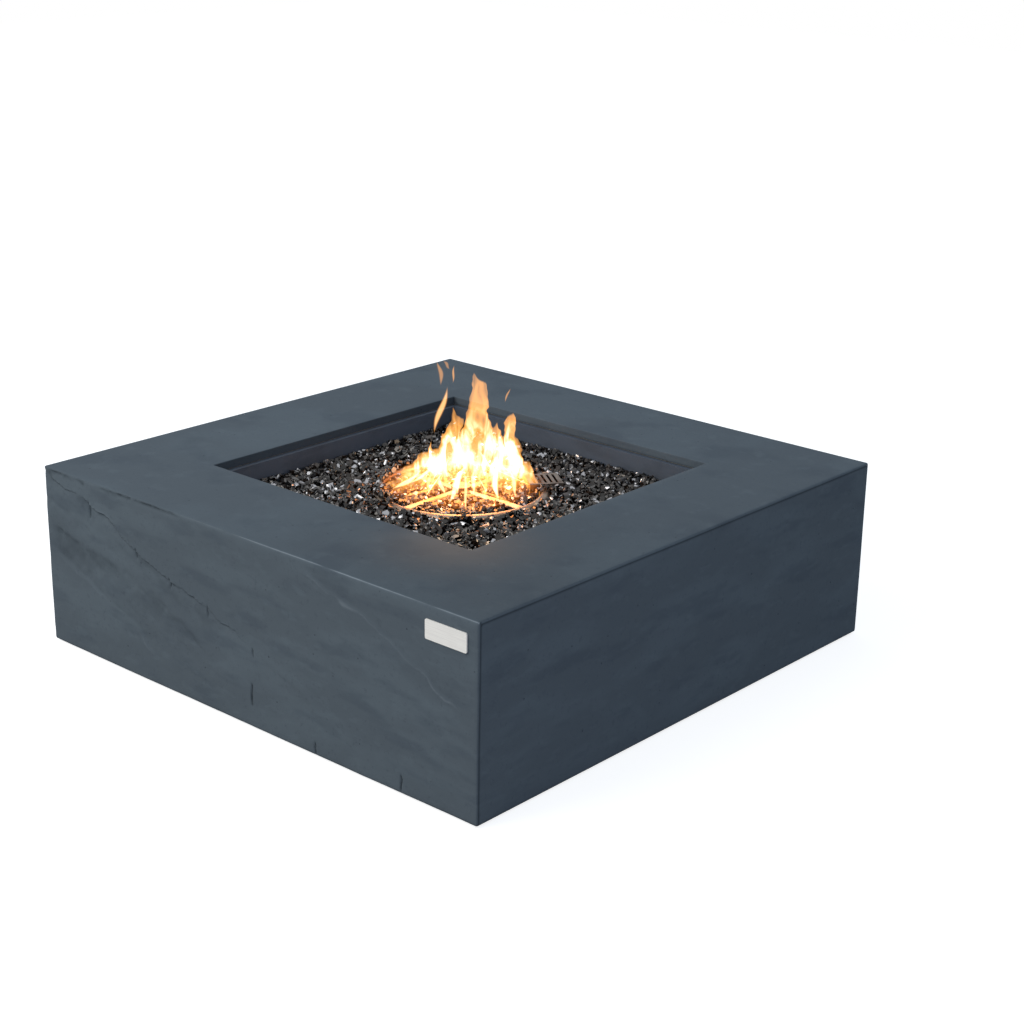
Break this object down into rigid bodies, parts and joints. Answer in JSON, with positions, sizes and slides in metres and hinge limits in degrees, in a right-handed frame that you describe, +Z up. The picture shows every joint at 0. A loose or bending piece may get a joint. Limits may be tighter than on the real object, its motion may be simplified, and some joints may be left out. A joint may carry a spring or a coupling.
{
  "type": "gas fire pit table",
  "caption": "Low square concrete fire table with a gas ring burner in a bed of black fire glass, a slotted ignition hood and recessed gas controls.",
  "frame": {"origin": "on the floor, under the middle of the square table", "axes": "+Z up; the badge plate is on the -Y side and the control panel on the +Y side"},
  "size_m": [0.92, 0.922, 0.294],
  "materials": {
    "concrete": "cast, slate-like, matt",
    "rubber": "moulded, matt",
    "zinc_steel": "zinc plated",
    "brass": "machined",
    "badge_metal": "satin",
    "pan_steel": "heat-proof black, matt",
    "gasket_fibre": "woven glass fibre",
    "burner_steel": "heat-tinted stainless",
    "stainless": "satin stainless",
    "fire_glass": "broken black glass, glossy",
    "ceramic": "glazed insulator",
    "copper": "drawn copper",
    "aluminium": "cast",
    "black_plastic": "moulded, fine grain",
    "white_paint": "inlaid bar",
    "red_plastic": "moulded, glossy",
    "battery_can": "plain wrapped can",
    "spring_steel": "drawn wire",
    "braid_steel": "stainless braid over hose",
    "silicone": "high-tension lead",
    "galvanised": "galvanised sheet"
  },
  "bodies": {
    "table": {"concrete_shell": "concrete", "rubber_feet": "rubber", "foot_screws": "zinc_steel", "foot_inserts": "brass", "badge_plate": "badge_metal", "fire_pan": "pan_steel", "pan_gasket": "gasket_fibre", "pan_screws": "zinc_steel", "pan_washers": "zinc_steel", "slab_inserts": "brass", "burner": "burner_steel", "burner_locknuts": "zinc_steel", "air_mixer": "aluminium", "gas_jet": "brass", "jet_elbow": "brass", "fire_glass": "fire_glass", "ignition_hood": "stainless", "ignition_bracket": "stainless", "hood_screws": "stainless", "electrode_ceramic": "ceramic", "electrode_wire": "spring_steel", "thermocouple": "copper", "control_panel": "stainless", "panel_screws": "zinc_steel", "panel_inserts": "brass", "dial_plate": "black_plastic", "valve_body": "brass", "collar_nut": "zinc_steel", "magnet_unit": "aluminium", "thermocouple_nut": "brass", "valve_spring": "spring_steel", "igniter_body": "black_plastic", "igniter_nut": "black_plastic", "igniter_cap": "stainless", "igniter_spring": "spring_steel", "igniter_battery": "battery_can", "gas_inlet": "brass", "inlet_locknut": "brass", "inlet_tube": "aluminium", "union_nuts": "brass", "burner_hose": "braid_steel", "spark_lead": "silicone", "thermocouple_lead": "copper", "lead_clip": "galvanised", "heat_shield": "galvanised", "shield_screws": "zinc_steel"},
    "plunger": {"valve_plunger": "spring_steel"},
    "knob": {"valve_stem": "spring_steel", "control_knob": "black_plastic", "knob_pointer": "white_paint", "set_screw": "zinc_steel"},
    "button": {"igniter_button": "red_plastic"}
  },
  "joints": [
    {"name": "knob_push", "type": "slide", "parent": "table", "child": "plunger", "axis": [0, -1, 0], "range_m": [0, 0.004], "stiffness_N_per_m": 2500, "springref_m": -0.004, "deforming": ["valve_spring"]},
    {"name": "knob_turn", "type": "hinge", "parent": "plunger", "child": "knob", "pos_m": [0, 0.44, 0.13], "axis": [0, 1, 0], "range_deg": [-90, 90]},
    {"name": "igniter_press", "type": "slide", "parent": "table", "child": "button", "axis": [0, -1, 0], "range_m": [0, 0.005], "stiffness_N_per_m": 800, "springref_m": -0.004, "deforming": ["igniter_spring"]}
  ]
}
